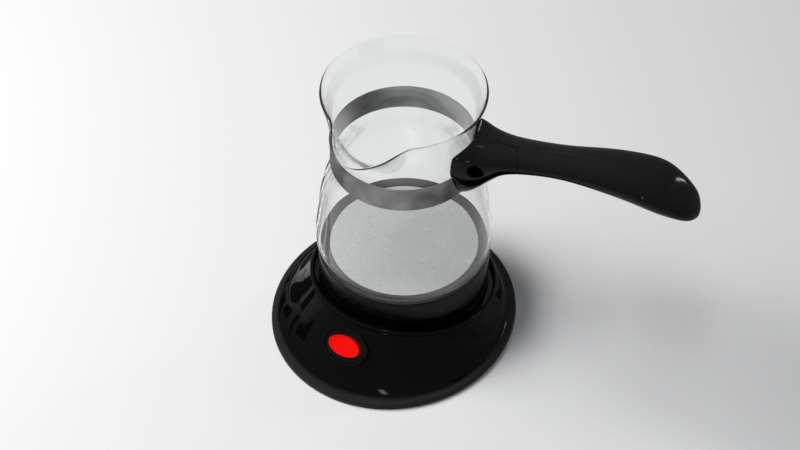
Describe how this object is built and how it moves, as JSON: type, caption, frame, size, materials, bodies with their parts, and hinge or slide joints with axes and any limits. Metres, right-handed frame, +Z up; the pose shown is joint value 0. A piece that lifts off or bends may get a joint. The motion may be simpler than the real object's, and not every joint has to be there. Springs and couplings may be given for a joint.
{
  "type": "electric glass coffee pot with power base",
  "caption": "Flared glass coffee pot with steel neck band, long black handle and heater foot, standing in a round black power base with a red push button.",
  "frame": {"origin": "on the pot's axis, at the table under the foot ring", "axes": "+Z up along the pot's axis, +X along the handle, -Y towards the pouring lip"},
  "size_m": [0.2494, 0.1559, 0.1771],
  "materials": {
    "black_gloss": "polished black moulding",
    "black_inner": "fine-grained black moulding",
    "red_gloss": "polished red moulding",
    "clear_glass": "clear heat-proof glass",
    "satin_steel": "satin-rolled stainless sheet",
    "plate_steel": "lapped stainless heating plate",
    "grey_seal": "grey silicone",
    "foot_rubber": "soft black rubber",
    "zinc_screw": "zinc-plated steel",
    "contact_brass": "bright brass",
    "bare_aluminium": "pressed aluminium",
    "element_sheath": "heat-tinted steel sheath",
    "live_brown": "brown wire insulation",
    "neutral_blue": "blue wire insulation",
    "earth_green": "green and yellow wire insulation",
    "switched_black": "black wire insulation",
    "glass_braid": "woven glass-fibre sleeve",
    "lamp_glass": "tinted lamp glass",
    "spring_steel": "spring wire"
  },
  "bodies": {
    "base": {"base_shell": "black_gloss", "recess_tray": "black_gloss", "bottom_cover": "black_inner", "foot_ring": "foot_rubber", "cover_screws": "zinc_screw", "cord_gland": "foot_rubber", "base_connector": "black_inner", "base_contacts": "contact_brass", "switch_bezel": "black_gloss", "switch_housing": "black_inner", "switch_terminals": "contact_brass", "indicator_lamp": "lamp_glass", "button_spring": "spring_steel", "live_lead": "live_brown", "switch_lead": "switched_black", "neutral_lead": "neutral_blue", "earth_lead": "earth_green"},
    "button": {"button_cap": "red_gloss", "button_plunger": "black_inner"},
    "pot": {"glass_body": "clear_glass", "heater_plate": "plate_steel", "plate_seal": "grey_seal", "heat_spreader": "bare_aluminium", "heating_element": "element_sheath", "element_pins": "zinc_screw", "element_leads": "glass_braid", "thermostat": "bare_aluminium", "thermal_fuse": "zinc_screw", "collar": "black_gloss", "collar_floor": "black_inner", "collar_screws": "zinc_screw", "pot_connector": "black_inner", "pot_contacts": "contact_brass", "coupling_screws": "zinc_screw", "neck_band": "satin_steel", "handle_root": "black_gloss", "handle_grip": "black_gloss", "band_screw": "zinc_screw", "band_nut": "zinc_screw", "grip_screw": "zinc_screw"}
  },
  "joints": [
    {"name": "pot_lift", "type": "slide", "parent": "base", "child": "pot", "axis": [0, 0, 1], "range_m": [0, 0.06]},
    {"name": "power_button", "type": "slide", "parent": "base", "child": "button", "axis": [0.051, 0.7296, -0.682], "range_m": [0, 0.0022], "stiffness_N_per_m": 400, "deforming": ["button_spring"]}
  ]
}
